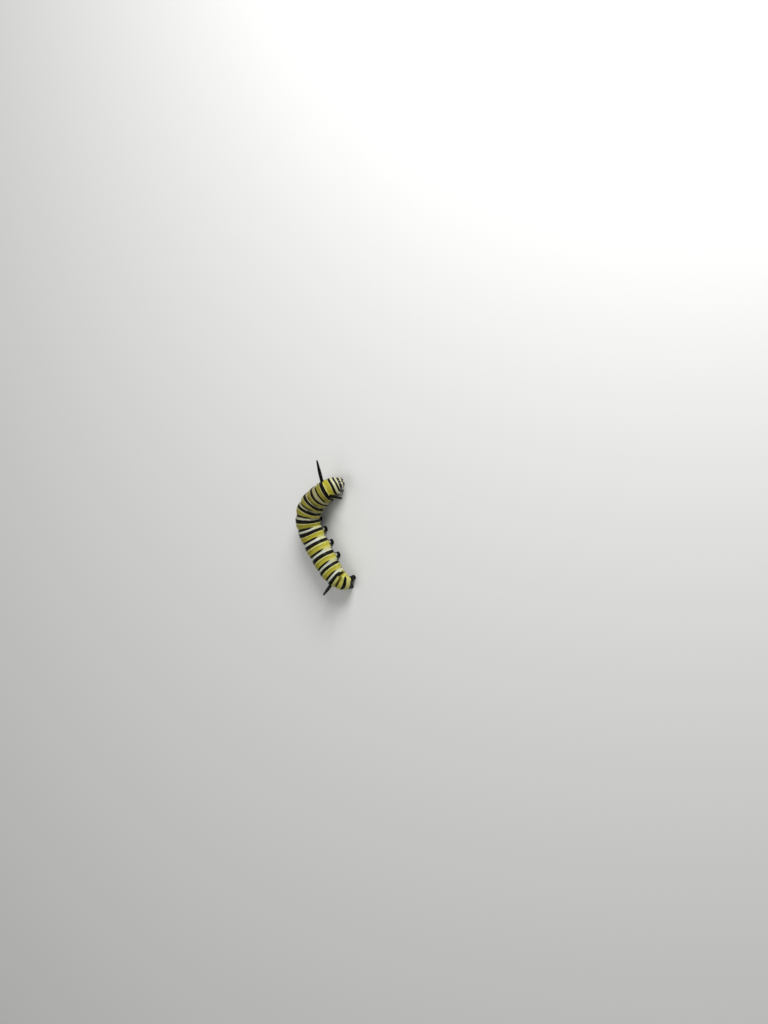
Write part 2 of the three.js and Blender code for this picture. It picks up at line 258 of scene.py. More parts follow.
def proleg_path(along, side, sizes):
    angle, radii, splay, trail = sizes
    _, forward, right, _, _, _ = (row[0] for row in station(along))
    around = side * math.radians(angle)
    root = body_point(along, around, ROOT_SHARE)[0]
    foot = body_point(along, around)[0] + side * splay * right - trail * forward
    foot[2] = 0.0
    share = np.linspace(0, 1, 41)
    radius = np.interp(share, np.linspace(0, 1, len(radii)), radii)
    for place, width, depth in PROLEG_FOLDS:
        radius -= depth * np.exp(-(((share - place) / width) ** 2))
    radius[-1] *= SOLE_ROUNDING
    return root + share[:, None] * (foot - root), radius


def feeler_path(along, side, length, way):
    _, forward, right, up, half_width, _ = (row[0] for row in station(along))
    root = body_point(along, side * math.radians(FEELER_ROOT), ROOT_SHARE)[0]
    way = unit(way[0] * forward + side * way[1] * right + way[2] * up)
    tip = root + way * (length + (1 - ROOT_SHARE) * half_width)
    middle = (root + tip) / 2 + up * FEELER_BEND * length
    share = np.linspace(0, 1, 121)
    radius = np.interp(share, np.linspace(0, 1, len(FEELER_RADII)), FEELER_RADII)
    to_tip = (1 - share) * length / FEELER_RADII[-1]
    radius *= np.sqrt(np.clip(1 - np.maximum(1 - to_tip, 0) ** 2, 0.02, 1))
    return bezier(root, middle, tip, share), radius


def lobe_path(along, side):
    around = side * math.radians(LEG_ROOT)
    root = body_point(along, around, ROOT_SHARE)[0]
    tip = body_point(along, around, 1, LOBE_REACH)[0]
    share = np.linspace(0, 1, 9)
    return root + share[:, None] * (tip - root), LOBE_RADIUS * (1 - LOBE_TAPER * share)


SIDES = (-1, 1)
SOFT_LIMBS = [("proleg", *proleg_path(along, side, sizes)) for along, sizes in PROLEGS for side in SIDES]
SOFT_LIMBS += [("feeler", *feeler_path(*row)) for row in FEELERS]
SOFT_LIMBS += [("lobe", *lobe_path(along, side)) for along in LEG_PLACES for side in SIDES]

VOXEL = 0.064  # millimetres, which keeps the skin under 200,000 triangles


def fused_skin():
    """Body and soft limbs as one closed surface, in millimetres."""
    parts = [body_tube()] + [tube(limb_rings(path, radii)) for _, path, radii in SOFT_LIMBS]
    mesh = mesh_of("skin_blank", parts)
    outward(mesh)
    blank = place_on_scene("skin_blank", mesh)
    remesh = blank.modifiers.new("fuse", "REMESH")
    remesh.mode = "VOXEL"
    remesh.voxel_size = VOXEL
    remesh.adaptivity = 0
    shell = bpy.data.meshes.new_from_object(blank.evaluated_get(bpy.context.evaluated_depsgraph_get()))
    bpy.data.objects.remove(blank)
    return shell


def numbers_of(items, name, width, kind=np.float32):
    values = np.empty(len(items) * width, kind)
    items.foreach_get(name, values)
    return values.reshape(-1, width) if width > 1 else values


def nearest_of(places, points):
    """For each point, which place is nearest and how far away it is."""
    tree = KDTree(len(places))
    for i, place in enumerate(places):
        tree.insert(place, i)
    tree.balance()
    found = [tree.find(point) for point in points]
    return np.array([i for _, i, _ in found]), np.array([distance for *_, distance in found])


def nearest_along(points):
    """How far along the body each point lies."""
    samples = np.linspace(-1, TAIL_TIP, 1401)
    along = samples[nearest_of(smooth_curve(BODY_LINE, samples), points)[0]]
    for _ in range(SETTLING):
        centre, forward, *_ = station(along)
        speed = np.linalg.norm(smooth_curve(BODY_LINE, along + STEP) - centre, axis=1) / STEP
        missed = np.einsum("ij,ij->i", points - centre, -forward)
        along = np.clip(along + missed / np.maximum(speed, 0.3), -1, TAIL_TIP)
    return along


def body_coordinates(points):
    """Along, around and height over the skin, in millimetres, of each point."""
    at = nearest_along(points)
    centre, _, right, up, half_width, fold = station(at)
    out = points - centre
    x = np.einsum("ij,ij->i", out, right)
    y = np.einsum("ij,ij->i", out, up) / HEIGHT_TO_WIDTH
    y = np.where(y < 0, y / BELLY, y)
    past = np.clip(at - TAIL_DOME, 0, 1)
    turned = np.arcsin(past * math.sin(DOME_TURN)) / DOME_TURN
    along = at - past + turned
    crease = fold * np.abs(np.cos(np.pi * along)) ** FOLD_SHARPNESS
    girth = half_width * (1 - crease) * np.cos(turned * DOME_TURN)
    return along, np.arctan2(x, y), np.hypot(x, y) - girth


def limb_coordinates(points):
    """Nearest soft limb of each point, and how far the point lies outside it."""
    _, paths, radii = zip(*SOFT_LIMBS)
    limbs = np.repeat(range(len(paths)), [len(path) for path in paths])
    nearest, distance = nearest_of(np.vstack(paths), points)
    return limbs[nearest], distance - np.concatenate(radii)[nearest]


def soften(points, edges, weight, rounds):
    """Moves points towards the mean of their neighbours, as far as their weight says."""
    count = np.bincount(edges.ravel(), minlength=len(points)).astype(float)[:, None]
    for _ in range(rounds):
        total = np.zeros_like(points)
        for one, other in (edges.T, edges.T[::-1]):
            for axis in range(3):
                total[:, axis] += np.bincount(one, points[other, axis], len(points))
        points = points + weight[:, None] * (total / count - points)
    return points


def smoothstep(low, high, value):
    t = np.clip((value - low) / (high - low), 0, 1)
    return t * t * (3 - 2 * t)


def bump(distance, width):
    return np.exp(-((distance / width) ** 2))


# Heights of the relief in millimetres: the fold between segments, the shallow rings within one
# segment, a slow waver and a fine crinkle
FOLD_DEPTH, RING_HEIGHT, WAVER_HEIGHT, CRINKLE_HEIGHT = 0.075, 0.024, 0.03, 0.014
ANNULETS = 6  # rings in a segment
# On the flank a pad on each segment, a hollow above it and a hem below: degrees from the
# middle of the back, width in degrees and height
PAD, HOLLOW, HEM = (98, 13, 0.11), (78, 7, -0.06), (118, 6, -0.05)


def relief(along, around):
    """How far the skin stands out or in, in millimetres: folds, rings and flank pads."""
    degrees = np.degrees(np.abs(around))
    segment = along - np.floor(along)
    edge = np.minimum(segment, 1 - segment)
    within = smoothstep(0.1, 0.6, along) * (1 - smoothstep(11.9, 12.6, along))
    back = 1 - 0.65 * smoothstep(70, 105, degrees)
    rings = np.abs(np.sin(np.pi * ANNULETS * segment)) ** 0.7 - 0.6
    wander = np.array([noise.noise((a * 1.7, b * 2.3, 3.0)) for a, b in zip(along, around)])
    crinkle = np.array([noise.noise((a * 7, b * 9, 8.0)) for a, b in zip(along, around)])
    fold = -FOLD_DEPTH * bump(edge, 0.045) * (0.75 + 0.35 * smoothstep(40, 100, degrees))
    pad, hollow, hem = (high * bump(degrees - at, wide) for at, wide, high in (PAD, HOLLOW, HEM))
    flank = pad * np.sin(np.pi * segment) ** 2 + hollow + hem
    flank *= smoothstep(0.6, 1.3, along) * (1 - smoothstep(11.2, 12.0, along))
    even = fold + RING_HEIGHT * rings * back + WAVER_HEIGHT * wander + CRINKLE_HEIGHT * crinkle
    return within * even + flank


# Black bands and thin black lines: place along the body on the back, how far each is shifted
# at 60 degrees down the left and the right flank, its half width, and how far down it reaches
BANDS = [
    ("band", 0.14, 0.19, 0.05, 0.106, 105),
    ("band", 0.59, 0.18, 0.17, 0.12, 98),
    ("band", 1.39, 0.03, 0.07, 0.15, 190),
    ("line", 1.98, 0.0, 0.06, 0.084, 75),
    ("band", 2.475, -0.18, -0.09, 0.12, 112),
    ("faint", 2.95, 0.04, -0.1, 0.055, 50),
    ("band", 3.21, 0.16, -0.03, 0.12, 112),
    ("line", 3.785, 0.3, -0.35, 0.09, 52),
    ("band", 4.21, 0.06, -0.01, 0.118, 118),
    ("line", 4.87, 0.16, -0.26, 0.11, 56),
    ("band", 5.355, 0.0, 0.05, 0.167, 190),
    ("line", 6.07, -0.01, 0.02, 0.095, 62),
    ("band", 6.458, -0.19, 0.03, 0.133, 190),
    ("line", 6.974, -0.04, -0.01, 0.075, 62),
    ("band", 7.333, -0.04, 0.01, 0.118, 190),
    ("line", 7.912, -0.06, -0.05, 0.068, 60),
    ("band", 8.282, 0.16, -0.02, 0.137, 190),
    ("line", 8.911, 0.07, -0.11, 0.074, 60),
    ("band", 9.295, 0.18, -0.09, 0.133, 122),
    ("line", 9.961, 0.05, -0.11, 0.09, 62),
    ("band", 10.44, -0.12, 0.0, 0.18, 68),
    ("faint", 11.1, -0.12, -0.06, 0.14, 46),
    ("band", 12.04, -0.42, -0.3, 0.222, 68),
    ("end", 13.1, -0.1, -0.1, 0.3, 200),
]
FLANK = math.radians(60)
# Degrees over which each kind runs out to its point
TAPER = {"band": 14, "line": 26, "faint": 26, "end": 14}
BAND_IN_SEGMENT = 0.38  # where a band falls when the thin lines are at whole numbers
LINE_POINT = 0.7  # how sharply a line runs out, less for a blunter end
FAR = 3.0  # stands for "no band near", where 1 is the edge of a band


def place_in_run(kind, place):
    """Where a row of BANDS falls as the bands run, with each thin line at a whole number."""
    if place < 1 or place > 11.5:
        return place
    return round(place + 0.1) if kind in ("line", "faint") else round(place - 0.3) + BAND_IN_SEGMENT


def bands(along, around):
    """Where each point lies as the bands run, how near the nearest black band is, 1 at its
    edge, and whether that is a faint brown one."""
    at = np.array([row[1] for row in BANDS])
    left, right = (np.array([row[i] for row in BANDS]) for i in (2, 3))
    lean = (right - left) / 2 / math.sin(FLANK)
    bow = (right + left) / 2 / math.sin(FLANK) ** 2
    swing = np.where(np.abs(around) > math.pi / 2, np.sign(around), np.sin(around))
    true_along = along.copy()
    for _ in range(SETTLING):
        shift = np.interp(true_along, at, lean) * swing + np.interp(true_along, at, bow) * swing**2
        true_along = along - shift
    run = np.maximum.accumulate([place_in_run(kind, place) for kind, place, *_ in BANDS])
    ground = np.interp(true_along, np.r_[-1, at, 14], np.r_[-1, run, 14.0])
    degrees = np.degrees(np.abs(around))
    nearest, faint = np.full(len(along), FAR), np.zeros(len(along))
    for kind, place, _, _, half_width, reach in BANDS:
        to_end = np.clip((reach - degrees) / TAPER[kind], 0.02, 1)
        round_end = np.sqrt(1 - (1 - to_end) ** 2)
        run_out = round_end if kind in ("band", "end") else to_end**LINE_POINT
        away = np.abs(true_along - place) / (half_width * run_out)
        away = np.maximum(away, 1 + (degrees - reach) / 2)
        faint = np.where(away < nearest, float(kind == "faint"), faint)
        nearest = np.minimum(nearest, away)
    return ground, nearest, faint


WHITE_SPOT_SHARE = 0.26  # down the proleg from its root
WHITE_SPOT_RADIUS = 0.24
BARE_BELOW = 0.3  # the skin has no bristles lower than this over the floor


def white_spot_places():
    """The outer side of each proleg but the last pair."""
    spots = []
    for along, sizes in PROLEGS[:-1]:
        for side in SIDES:
            path, radii = proleg_path(along, side, sizes)
            i = int(WHITE_SPOT_SHARE * (len(path) - 1))
            spots.append(path[i] + side * radii[i] * station(along)[2][0])
    return np.array(spots)


def set_attribute(mesh, name, values):
    layer = mesh.attributes.new(name, "FLOAT", "POINT")
    layer.data.foreach_set("value", np.asarray(values, np.float32))


# Rounds of softening, all over and where a limb grows from the body, and how far this last
# reaches from the limb's surface and from the body's
EVEN_ROUNDS, CROTCH_ROUNDS = 2, 14
CROTCH_REACH = (0.3, 0.25)
# The relief sets in between these distances from a limb and behind the rim, and fades between
# these heights over the plain body and these places at the tail
RELIEF_OFF_LIMB, RELIEF_PAST_RIM = (0.05, 0.4), (0.12, 0.2)
RELIEF_HEIGHT, RELIEF_TAIL = (0.03, 0.08), (12.6, 12.8)
# The limbs are black from these heights over the body. So is the skin this near a proleg, low
# on the side, in degrees, and the rim round the neck, which is painted shade in the fold there.
ONTO_LIMB = (0.0, 0.14)
BLACK_ROUND_PROLEG, BLACK_LOW, NECK_FOLD_PAINTED_SHADE = (0.02, 0.12), (100, 112), (0.05, 0.1)


def skin_mesh():
    """The skin with its relief, and with what its material reads stored at each point."""
    mesh = fused_skin()
    points = numbers_of(mesh.vertices, "co", 3).astype(float)
    edges = numbers_of(mesh.edges, "vertices", 2, np.int32)
    along, around, out = body_coordinates(points)
    limb, off_limb = limb_coordinates(points)
    on_limb = smoothstep(*ONTO_LIMB, out)
    crotch = np.clip(1 - np.abs(off_limb) / CROTCH_REACH[0], 0, 1)
    crotch *= np.clip(1 - np.abs(out) / CROTCH_REACH[1], 0, 1)
    points = soften(points, edges, np.full(len(points), 0.5), EVEN_ROUNDS)
    points = soften(points, edges, 0.5 * crotch, CROTCH_ROUNDS)
    clear = smoothstep(*RELIEF_OFF_LIMB, off_limb) * (1 - smoothstep(*RELIEF_HEIGHT, np.abs(out)))
    behind_rim = along - rim_at(around)
    clear *= smoothstep(*RELIEF_PAST_RIM, behind_rim) * (1 - smoothstep(*RELIEF_TAIL, along))
    ideal = body_point(along, around, 1.0, relief(along, around))
    points += clear[:, None] * (ideal - points)
    points[:, 2] = np.maximum(points[:, 2], 0.0)
    ground, nearest, faint = bands(along, around)
    kinds = np.array([kind for kind, _, _ in SOFT_LIMBS])[limb]
    degrees = np.degrees(np.abs(around))
    at_root = np.where(kinds == "proleg", 1 - smoothstep(*BLACK_ROUND_PROLEG, off_limb), 0.0)
    at_root *= smoothstep(*BLACK_LOW, degrees)
    # Painted shade: the rolled rim in the fold round the neck is painted black
    neck = 1 - smoothstep(*NECK_FOLD_PAINTED_SHADE, behind_rim)
    to_spots = np.linalg.norm(points[:, None] - white_spot_places()[None], axis=2)
    mesh.vertices.foreach_set("co", (points * MM).astype(np.float32).ravel())
    mesh.update()
    for name, values in (("ground", ground), ("near_band", nearest), ("faint", faint), ("down", degrees)):
        set_attribute(mesh, name, values)
    set_attribute(mesh, "black", np.maximum(np.maximum(on_limb, at_root), neck))
    set_attribute(mesh, "to_spot", to_spots.min(axis=1) / WHITE_SPOT_RADIUS)
    set_attribute(mesh, "coat", (1 - on_limb) * (points[:, 2] > BARE_BELOW) * (1 - neck))
    return mesh


def node(tree, kind, inputs, **settings):
    """A node with its settings, and with inputs by name or number as sockets or values."""
    made = tree.nodes.new(kind)
    for name, value in settings.items():
        setattr(made, name, value)
    for name, value in inputs.items():
        if isinstance(value, bpy.types.NodeSocket):
            tree.links.new(value, made.inputs[name])
        else:
            made.inputs[name].default_value = value
    return made


def add(tree, kind, *inputs, **settings):
    """The first output of a node, with its inputs in order, where None leaves one as it is."""
    given = {i: value for i, value in enumerate(inputs) if value is not None}
    return node(tree, kind, given, **settings).outputs[0]


def math_node(tree, operation, *values):
    return add(tree, "ShaderNodeMath", *values, operation=operation)


def ease(tree, value, low, high):
    """0 below low and 1 above high, or the other way round where low is the larger."""
    return add(tree, "ShaderNodeMapRange", value, low, high, 0.0, 1.0, interpolation_type="SMOOTHSTEP")


def mix(tree, factor, first, second):
    return node(tree, "ShaderNodeMix", {0: factor, 6: first, 7: second}, data_type="RGBA").outputs[2]


def ramp(tree, value, stops):
    """Colours along a value from 0 to 1."""
    made = node(tree, "ShaderNodeValToRGB", {0: value})
    elements = made.color_ramp.elements
    elements[0].position, elements[0].color = stops[0]
    elements[1].position, elements[1].color = stops[-1]
    for position, colour in stops[1:-1]:
        elements.new(position).color = colour
    return made.outputs[0]


def place_of(tree):
    return node(tree, "ShaderNodeTexCoord", {}).outputs["Object"]


def grain(tree, scale, detail=2.0, roughness=0.5):
    """Noise over the piece, in features per metre."""
    return add(tree, "ShaderNodeTexNoise", place_of(tree), None, scale, detail, roughness)


def cells(tree, scale):
    """Distance from the middle of fine cells over the piece, in cells per metre."""
    return add(tree, "ShaderNodeTexVoronoi", place_of(tree), None, scale)


def rescale(tree, value, *ends):
    """A value moved from between the first two ends to between the last two."""
    return add(tree, "ShaderNodeMapRange", value, *ends)


def waver(tree, scale, detail):
    """Noise over the piece, as much below 0 as above."""
    return math_node(tree, "SUBTRACT", grain(tree, scale, detail), 0.5)


def value_of(tree, name):
    return node(tree, "ShaderNodeAttribute", {}, attribute_name=name).outputs["Fac"]


def new_material(name, roughness, **settings):
    material = bpy.data.materials.new(name)
    material.use_nodes = True
    shader = material.node_tree.nodes["Principled BSDF"]
    shader.inputs["Roughness"].default_value = roughness
    for socket, value in settings.items():
        shader.inputs[socket.replace("_", " ")].default_value = value
    return material, material.node_tree, shader


def paint(tree, shader, colour):
    tree.links.new(colour, shader.inputs["Base Color"])


def roughen(tree, shader, height, strength, distance):
    bumps = node(tree, "ShaderNodeBump", {"Strength": strength, "Distance": distance, "Height": height})
    tree.links.new(bumps.outputs[0], shader.inputs["Normal"])


BLACK = (0.0045, 0.004, 0.0035, 1)
BROWN_EDGE = (0.016, 0.01, 0.005, 1)
UMBER = (0.034, 0.024, 0.004, 1)
WHITE = (0.56, 0.585, 0.47, 1)
IVORY = (0.62, 0.61, 0.36, 1)
CREAM = (0.56, 0.54, 0.15, 1)
LEMON = (0.45, 0.40, 0.02, 1)
PALE_LEMON = (0.60, 0.59, 0.12, 1)
# Painted shade of a fine crease, a thin dark line across the yellow
CREASE_PAINTED_SHADE = (0.12, 0.09, 0.01, 1)
# The body's white, cream and lemon, darkened by painted shade, for the back of the thorax
WHITE_IN_PAINTED_SHADE = (0.30, 0.275, 0.13, 1)
CREAM_IN_PAINTED_SHADE = (0.38, 0.355, 0.12, 1)
LEMON_IN_PAINTED_SHADE = (0.31, 0.275, 0.022, 1)
DUSK = (0.07, 0.075, 0.045, 1)

# Where the colours change, as the bands run from head to tail, in segments
FRONT_RUN = (-0.3, 1.4)
# the painted shade on the back of the thorax gives way to the abdomen's colours between these places
THORAX_TO_ABDOMEN = (3.4, 7.2)
TAIL_RUN = (10.3, 13.0)
TAIL_FROM = 10.38
# Where they change down the side, in degrees from the middle of the back
BACK_TO_FLANK = (50.0, 74.0)
FLANK_TO_BELLY = (108.0, 124.0)
# The colours along the front run, along each segment on the back of the thorax, darkened there
# by painted shade, on the back of the abdomen and down the side, and along the tail run
# The thin dark stop in the yellow of each run is painted shade in a crease
FRONT = [
    (0.0, IVORY), (0.42, IVORY), (0.47, CREAM), (0.61, CREAM), (0.65, LEMON), (0.78, LEMON),
    (0.795, CREASE_PAINTED_SHADE), (0.81, LEMON), (0.84, LEMON), (0.875, CREAM), (1.0, CREAM),
]
SHADED_THORAX = [
    (0.0, CREAM_IN_PAINTED_SHADE), (0.08, WHITE_IN_PAINTED_SHADE), (0.38, WHITE_IN_PAINTED_SHADE), (0.46, CREAM_IN_PAINTED_SHADE), (0.58, CREAM_IN_PAINTED_SHADE),
    (0.64, LEMON_IN_PAINTED_SHADE), (0.685, CREASE_PAINTED_SHADE), (0.72, LEMON_IN_PAINTED_SHADE), (0.88, LEMON_IN_PAINTED_SHADE), (0.95, CREAM_IN_PAINTED_SHADE),
]
ABDOMEN = [
    (0.0, CREAM), (0.08, WHITE), (0.38, WHITE), (0.46, CREAM), (0.58, CREAM), (0.64, LEMON),
    (0.685, CREASE_PAINTED_SHADE), (0.72, LEMON), (0.9, LEMON), (0.96, CREAM),
]
SIDE = [
    (0.0, PALE_LEMON), (0.07, IVORY), (0.36, IVORY), (0.46, CREAM), (0.6, CREAM), (0.7, LEMON),
    (0.84, LEMON), (0.94, PALE_LEMON),
]
TAIL = [
    (0.0, CREAM), (0.17, CREAM), (0.22, LEMON), (0.34, LEMON), (0.41, PALE_LEMON),
    (0.52, PALE_LEMON), (0.6, LEMON), (0.7, CREAM), (0.84, CREAM), (0.95, PALE_LEMON),
]
GLOW_REACH = (0.0004, 0.0003, 0.0001)  # how far red, green and blue light spreads in the skin


def skin_material():
    gloss = {"Coat_Weight": 0.05, "Coat_Roughness": 0.3}
    glow = {"Subsurface_Weight": 0.1, "Subsurface_Radius": GLOW_REACH, "Subsurface_Scale": 1.0}
    material, tree, shader = new_material("striped_skin", 0.42, **gloss, **glow)
    wander, fine = waver(tree, 1800, 3), waver(tree, 9000, 2)
    ground = math_node(tree, "MULTIPLY_ADD", wander, 0.05, value_of(tree, "ground"))
    segment = math_node(tree, "FRACT", ground)
    down = value_of(tree, "down")
    front = ramp(tree, rescale(tree, ground, *FRONT_RUN, 0.0, 1.0), FRONT)
    thorax, abdomen, flank = (ramp(tree, segment, stops) for stops in (SHADED_THORAX, ABDOMEN, SIDE))
    tail = ramp(tree, rescale(tree, ground, *TAIL_RUN, 0.0, 1.0), TAIL)
    past_front = math_node(tree, "GREATER_THAN", ground, FRONT_RUN[1])
    past_middle = math_node(tree, "GREATER_THAN", ground, TAIL_FROM)
    rear = mix(tree, ease(tree, down, *BACK_TO_FLANK), abdomen, flank)
    # The thorax colours in painted shade fade into the abdomen's colours
    middle = mix(tree, ease(tree, ground, *THORAX_TO_ABDOMEN), thorax, rear)
    colour = mix(tree, past_middle, mix(tree, past_front, front, middle), tail)
    # A faint mottle all over, and the dusky belly
    mottle = ease(tree, grain(tree, 6000, 4, 0.6), 0.3, 0.72)
    colour = mix(tree, math_node(tree, "MULTIPLY", mottle, 0.16), colour, DUSK)
    belly = math_node(tree, "ADD", down, math_node(tree, "MULTIPLY", wander, 14.0))
    colour = mix(tree, ease(tree, belly, *FLANK_TO_BELLY), colour, DUSK)
    # The bands and lines with wavering edges, then the black limbs with the painted shade in the neck
    # fold, and their white spots
    near = math_node(tree, "MULTIPLY_ADD", wander, 0.35, value_of(tree, "near_band"))
    near = math_node(tree, "MULTIPLY_ADD", fine, 0.22, near)
    band_colour = mix(tree, ease(tree, near, 0.55, 1.0), BLACK, BROWN_EDGE)
    band_colour = mix(tree, value_of(tree, "faint"), band_colour, UMBER)
    colour = mix(tree, ease(tree, near, 1.12, 0.92), colour, band_colour)
    black = math_node(tree, "MULTIPLY_ADD", fine, 0.3, value_of(tree, "black"))
    colour = mix(tree, ease(tree, black, 0.4, 0.6), colour, BLACK)
    spot = math_node(tree, "MULTIPLY_ADD", fine, 0.3, value_of(tree, "to_spot"))
    colour = mix(tree, ease(tree, spot, 1.1, 0.85), colour, WHITE)
    paint(tree, shader, colour)
    # Black skin gleams less than pale skin
    gleam = math_node(tree, "MULTIPLY_ADD", add(tree, "ShaderNodeRGBToBW", colour), 0.6, 0.08)
    tree.links.new(gleam, shader.inputs["Specular IOR Level"])
    wrinkles = math_node(tree, "MULTIPLY_ADD", grain(tree, 22000, 3), 0.6, cells(tree, 16000.0))
    roughen(tree, shader, wrinkles, 0.35, 0.000012)
    rough = rescale(tree, grain(tree, 7000, 3), 0.3, 0.7, 0.34, 0.5)
    tree.links.new(rough, shader.inputs["Roughness"])
    return material


skin_shape = skin_mesh()
skin_shape.materials.clear()
skin = finished("skin", skin_shape, skin_material())
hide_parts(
    "prothorax", "mesothorax", "metathorax",
    "abdomen_1_2", "abdomen_3_4", "abdomen_5_7", "abdomen_8_10",
    *[f"proleg_a{segment}_{side}" for segment in (3, 4, 5, 6, 10) for side in ("left", "right")],
    *[f"filament_{end}_{side}" for end in ("front", "rear") for side in ("left", "right")],
)
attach(skin, "root")


# Head. A hard, glossy black capsule of two rounded halves that meet in a groove over the crown,
# with a sunken triangle in the face. Its two pale bands are colour in the shell: a wide arch
# from cheek to cheek over the crown, and a narrow upturned V round the triangle.
HEAD_HALF = np.array([1.0, 1.06, 0.88])  # half width, height and depth
HEAD_ALONG = 0.08
HEAD_BOWED = math.radians(38)
CLEFT, CLEFT_WIDTH = 0.09, 0.16
FACE_TOP = 0.66  # apex of the triangle in the face, as a share of the half height
FACE_FOOT = (0.36, -0.42)  # its lower corner: across and up
# How deep and wide each groove is, as shares of the head's size
SEAM_DEPTH, SEAM_WIDTH = 0.022, 0.02
EDGE_DEPTH, EDGE_WIDTH = 0.02, 0.02
FOOT_DEPTH, FOOT_WIDTH = 0.03, 0.025
FACE_SUNK = 0.03
CHEEK_FULL, MOUTH_NARROWED = 0.035, 0.05
# The arch: how far it lies from the middle of the face over the crown, how much nearer at the
# cheeks, its half width, how far round it reaches and over how much of that it runs out
ARCH_TURN, ARCH_DROP, ARCH_HALF = math.radians(83.5), math.radians(14), math.radians(6.5)
ARCH_REACH, ARCH_TAPER = math.radians(118), math.radians(50)
ARCH_GAP = 0.045  # half width of the black gap in it at the crown
BRISTLES_TO = math.radians(80)  # from the middle of the face
# The V: how far outside the triangle, its half width, and how much wider it is at the top
V_OUT, V_HALF, V_SWELL = 0.055, 0.05, 0.9
# The bar under the triangle: its half length, how far below the foot, and its half width
BAR_LENGTH, BAR_DROP, BAR_HALF = 0.34, 0.1, 0.055


def turned(vector, axis, angle):
    return np.array(Matrix.Rotation(angle, 3, Vector(axis)) @ Vector(vector))


def head_axes():
    centre, forward, right, up, _, _ = (row[0] for row in station(HEAD_ALONG))
    face, crown = (turned(way, right, -HEAD_BOWED) for way in (forward, up))
    return centre, np.array([right, crown, face])


HEAD_CENTRE, HEAD_AXES = head_axes()


def on_head(places):
    """Points given as right, crown and face from the middle of the capsule."""
    return HEAD_CENTRE + np.atleast_2d(places) @ HEAD_AXES


def head_way(side, rise):
    """A direction from the middle of the head: degrees round from the face, and up."""
    side, rise = math.radians(side), math.radians(rise)
    return np.array([math.sin(side) * math.cos(rise), math.sin(rise), math.cos(side) * math.cos(rise)])


def to_face_edge(x, y):
    """Signed distance outside the side edge of the triangle in the face."""
    across, drop = FACE_FOOT[0], FACE_TOP - FACE_FOOT[1]
    length = math.hypot(across, drop)
    return ((np.abs(x) * drop) - (FACE_TOP - y) * across) / length


def ball(subdivisions):
    """Directions and triangles of an even ball."""
    work = bmesh.new()
    bmesh.ops.create_icosphere(work, subdivisions=subdivisions, radius=1.0)
    ways = np.array([vertex.co for vertex in work.verts])
    faces = [tuple(vertex.index for vertex in face.verts) for face in work.faces]
    work.free()
    return unit(ways), faces


def capsule_mesh():
    """The shell with its grooves pressed in, and the places of its pale bands stored."""
    ways, faces = ball(7)
    x, y, z = ways.T
    front = smoothstep(0.0, 0.3, z)
    # The cleft between the lobes, and the seam that runs down from it
    size = 1 - CLEFT * bump(x, CLEFT_WIDTH) * np.maximum(y, 0)
    size -= SEAM_DEPTH * bump(x, SEAM_WIDTH) * smoothstep(FACE_TOP - 0.02, FACE_TOP + 0.06, y)
    # The triangle in the face: grooved edges, a sunken middle and a grooved foot
    edge = to_face_edge(x, y)
    within_face = smoothstep(FACE_FOOT[1] - 0.05, FACE_FOOT[1], y) * front
    size -= EDGE_DEPTH * bump(edge, EDGE_WIDTH) * within_face * (y < FACE_TOP + 0.02)
    size -= FACE_SUNK * (1 - smoothstep(-0.08, 0.0, edge)) * within_face
    size -= FOOT_DEPTH * bump(y - FACE_FOOT[1], FOOT_WIDTH) * front * (np.abs(x) < 0.5)
    # Full cheeks, and a shell that narrows to the mouth
    size += CHEEK_FULL * bump(np.abs(x) - 0.72, 0.2) * bump(y + 0.3, 0.35)
    size -= MOUTH_NARROWED * smoothstep(-0.62, -1.0, y)
    points = on_head(ways * HEAD_HALF * size[:, None])
    mesh = mesh_of("head", [(points * MM, faces)])
    outward(mesh)
    # How near each point is to a pale band, 1 at its edge: the arch, the V and the bar at its foot
    from_face, round_face = np.arccos(z), np.arctan2(x, y)
    arch_at = ARCH_TURN - ARCH_DROP * (round_face / math.radians(90)) ** 2
    taper = np.clip((ARCH_REACH - np.abs(round_face)) / ARCH_TAPER, 0.05, 1) ** 0.6
    arch = np.abs(from_face - arch_at) / (ARCH_HALF * taper)
    arch = np.maximum(arch, 2 - np.abs(x) / ARCH_GAP)
    chevron = np.abs(edge - V_OUT) / (V_HALF * (1 + V_SWELL * bump(y - FACE_TOP, 0.16)))
    beside_face = (z > 0) & (y > FACE_FOOT[1] - 0.05) & (y < FACE_TOP + 0.14)
    chevron = np.where(beside_face, chevron, FAR)
    bar = np.abs(y - FACE_FOOT[1] + BAR_DROP) / BAR_HALF
    bar = np.where((z > 0) & (np.abs(x) < BAR_LENGTH), bar, FAR)
    set_attribute(mesh, "pale", np.clip(np.minimum(np.minimum(arch, chevron), bar), 0, FAR))
    set_attribute(mesh, "coat", (from_face < BRISTLES_TO).astype(float))
    return mesh


HORN_BLACK = (0.008, 0.007, 0.007, 1)
HORN_BROWN = (0.05, 0.025, 0.012, 1)
HEAD_PALE = (0.66, 0.66, 0.44, 1)


def head_material():
    material, tree, shader = new_material("head_capsule", 0.28, Coat_Weight=0.2, Coat_Roughness=0.14)
    pale = math_node(tree, "MULTIPLY_ADD", waver(tree, 6000, 3), 0.45, value_of(tree, "pale"))
    shell = mix(tree, ease(tree, grain(tree, 3000, 3), 0.45, 0.8), HORN_BLACK, HORN_BROWN)
    colour = mix(tree, ease(tree, pale, 1.15, 0.85), shell, HEAD_PALE)
    paint(tree, shader, colour)
    rough = rescale(tree, grain(tree, 9000, 3), 0.3, 0.7, 0.24, 0.38)
    tree.links.new(rough, shader.inputs["Roughness"])
    roughen(tree, shader, cells(tree, 14000.0), 0.25, 0.00001)
    return material


head = finished("head_capsule", capsule_mesh(), head_material())
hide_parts("head")
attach(head, "root")


